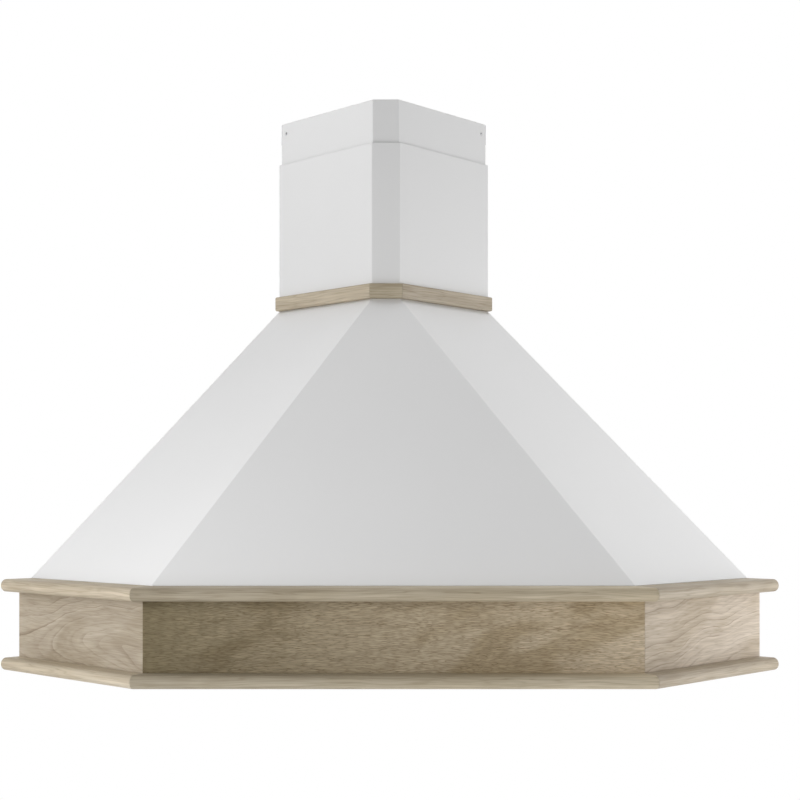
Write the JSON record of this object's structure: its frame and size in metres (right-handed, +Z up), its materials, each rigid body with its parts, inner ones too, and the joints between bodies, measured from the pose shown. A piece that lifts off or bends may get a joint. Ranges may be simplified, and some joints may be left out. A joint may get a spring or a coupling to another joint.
{
  "type": "corner range hood",
  "caption": "Corner cooker hood: white sheet-steel canopy in a mitred oak frame with rounded mouldings, telescopic chimney, blower, swing-down grease filters, lamps and push buttons.",
  "frame": {"origin": "room corner where the two walls meet, level with the underside of the oak frame", "axes": "+Z up, +Y into the room corner (the hood faces -Y), +X to the right of someone facing the hood; the walls are the upright planes at 45 degrees through the Z axis"},
  "size_m": [0.9998, 0.6637, 0.792],
  "materials": {
    "oak": "raw oak, sanded, matt",
    "white_paint": "satin white powder coat",
    "zinc_steel": "zinc plated",
    "filter_aluminium": "anodised, satin",
    "dark_plastic": "moulded, fine grain",
    "case_plastic": "moulded, flame retardant",
    "lamp_metal": "satin nickel",
    "motor_metal": "die cast",
    "lamp_glass": "frosted",
    "control_plastic": "moulded, white",
    "button_plastic": "moulded, light grey",
    "circuit_board": "solder mask"
  },
  "bodies": {
    "hood": {"blower_case_left": "case_plastic", "blower_case_right": "case_plastic", "blower_screws": "zinc_steel", "cable_gland": "dark_plastic", "canopy_shell": "white_paint", "canopy_skirt": "white_paint", "capacitor": "motor_metal", "collar_trim_front": "oak", "collar_trim_left": "oak", "collar_trim_right": "oak", "control_bezel": "control_plastic", "control_board": "circuit_board", "damper_pins": "zinc_steel", "electronics_box": "case_plastic", "electronics_cover": "case_plastic", "frame_board_front": "oak", "frame_board_left": "oak", "frame_board_right": "oak", "frame_screws": "zinc_steel", "hanging_plate_left": "zinc_steel", "hanging_plate_right": "zinc_steel", "inner_panel": "white_paint", "lamp_left_bezel": "lamp_metal", "lamp_left_lens": "lamp_glass", "lamp_left_module": "motor_metal", "lamp_right_bezel": "lamp_metal", "lamp_right_lens": "lamp_glass", "lamp_right_module": "motor_metal", "lower_chimney": "white_paint", "lower_moulding_front": "oak", "lower_moulding_left": "oak", "lower_moulding_right": "oak", "motor_body": "motor_metal", "motor_bracket": "zinc_steel", "outlet_collar": "dark_plastic", "pivot_ears": "zinc_steel", "rear_panel_left": "zinc_steel", "rear_panel_right": "zinc_steel", "rear_spine": "zinc_steel", "top_plate": "zinc_steel", "upper_moulding_front": "oak", "upper_moulding_left": "oak", "upper_moulding_right": "oak"},
    "chimney_cover": {"upper_chimney": "white_paint", "chimney_bracket": "zinc_steel"},
    "filter_left": {"filter_left_frame": "filter_aluminium", "filter_left_mesh": "filter_aluminium"},
    "filter_right": {"filter_right_frame": "filter_aluminium", "filter_right_mesh": "filter_aluminium"},
    "latch_left": {"filter_left_latch": "dark_plastic"},
    "latch_right": {"filter_right_latch": "dark_plastic"},
    "fan_wheel": {"impeller": "case_plastic", "motor_shaft": "zinc_steel"},
    "flap_front": {"damper_flap_front": "dark_plastic"},
    "flap_rear": {"damper_flap_rear": "dark_plastic"},
    "key_light": {"button_light": "button_plastic"},
    "key_off": {"button_off": "button_plastic"},
    "key_speed_1": {"button_speed_1": "button_plastic"},
    "key_speed_2": {"button_speed_2": "button_plastic"},
    "key_speed_3": {"button_speed_3": "button_plastic"}
  },
  "joints": [
    {"name": "chimney_telescope", "type": "slide", "parent": "hood", "child": "chimney_cover", "axis": [0, 0, 1], "range_m": [0, 0.19]},
    {"name": "filter_left_swing", "type": "hinge", "parent": "hood", "child": "filter_left", "pos_m": [0, -0.29, 0.022], "axis": [1, 0, 0], "range_deg": [0, 80]},
    {"name": "latch_left_slide", "type": "slide", "parent": "filter_left", "child": "latch_left", "axis": [0, 1, 0], "range_m": [0, 0.006], "stiffness_N_per_m": 300},
    {"name": "filter_right_swing", "type": "hinge", "parent": "hood", "child": "filter_right", "pos_m": [0, -0.29, 0.022], "axis": [1, 0, 0], "range_deg": [0, 80]},
    {"name": "latch_right_slide", "type": "slide", "parent": "filter_right", "child": "latch_right", "axis": [0, 1, 0], "range_m": [0, 0.006], "stiffness_N_per_m": 300},
    {"name": "fan_spin", "type": "hinge", "parent": "hood", "child": "fan_wheel", "pos_m": [0, -0.24867, 0.339], "axis": [1, 0, 0], "continuous": true},
    {"name": "flap_front_swing", "type": "hinge", "parent": "hood", "child": "flap_front", "pos_m": [0, -0.16475, 0.524], "axis": [-1, 0, 0], "range_deg": [0, 75]},
    {"name": "flap_rear_swing", "type": "hinge", "parent": "hood", "child": "flap_rear", "pos_m": [0, -0.15274, 0.524], "axis": [1, 0, 0], "range_deg": [0, 75]},
    {"name": "key_light_press", "type": "slide", "parent": "hood", "child": "key_light", "axis": [0, 0, 1], "range_m": [0, 0.002], "stiffness_N_per_m": 400},
    {"name": "key_off_press", "type": "slide", "parent": "hood", "child": "key_off", "axis": [0, 0, 1], "range_m": [0, 0.002], "stiffness_N_per_m": 400},
    {"name": "key_speed_1_press", "type": "slide", "parent": "hood", "child": "key_speed_1", "axis": [0, 0, 1], "range_m": [0, 0.002], "stiffness_N_per_m": 400},
    {"name": "key_speed_2_press", "type": "slide", "parent": "hood", "child": "key_speed_2", "axis": [0, 0, 1], "range_m": [0, 0.002], "stiffness_N_per_m": 400},
    {"name": "key_speed_3_press", "type": "slide", "parent": "hood", "child": "key_speed_3", "axis": [0, 0, 1], "range_m": [0, 0.002], "stiffness_N_per_m": 400}
  ]
}
